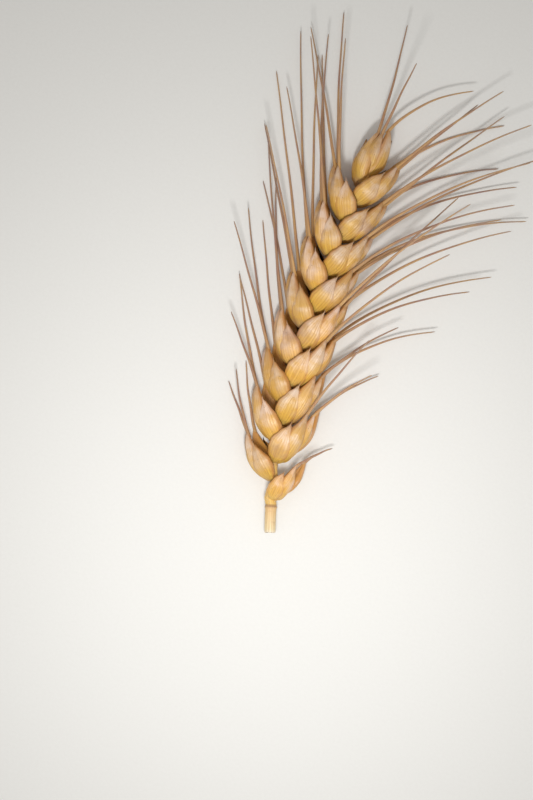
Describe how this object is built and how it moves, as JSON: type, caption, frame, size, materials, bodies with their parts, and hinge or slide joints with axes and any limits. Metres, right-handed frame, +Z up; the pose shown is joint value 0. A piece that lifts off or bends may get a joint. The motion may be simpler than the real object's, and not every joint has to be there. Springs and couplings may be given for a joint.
{
  "type": "wheat ear",
  "caption": "Ripe bearded wheat ear lying on its side, cut with a short stub of its stem, with two rows of husked spikelets and long stiff awns.",
  "frame": {"origin": "on the surface that the ear lies on, under the middle of its bounding box", "axes": "+Y from the cut stem to the tip, +X to the right as seen from above with the tip up, +Z up from the surface"},
  "size_m": [0.0678, 0.1256, 0.0265],
  "materials": {
    "husk_straw": "satin golden straw, dry and slightly waxy",
    "stem_straw": "satin pale straw"
  },
  "bodies": {
    "root": {"stem_and_rachis": "stem_straw", "spikelet_right_01": "husk_straw", "spikelet_right_02": "husk_straw", "spikelet_right_03": "husk_straw", "spikelet_right_04": "husk_straw", "spikelet_right_05": "husk_straw", "spikelet_right_06": "husk_straw", "spikelet_right_07": "husk_straw", "spikelet_right_08": "husk_straw", "spikelet_right_09": "husk_straw", "spikelet_left_01": "husk_straw", "spikelet_left_02": "husk_straw", "spikelet_left_03": "husk_straw", "spikelet_left_04": "husk_straw", "spikelet_left_05": "husk_straw", "spikelet_left_06": "husk_straw", "spikelet_left_07": "husk_straw", "spikelet_left_08": "husk_straw", "spikelet_terminal": "husk_straw"}
  },
  "joints": []
}
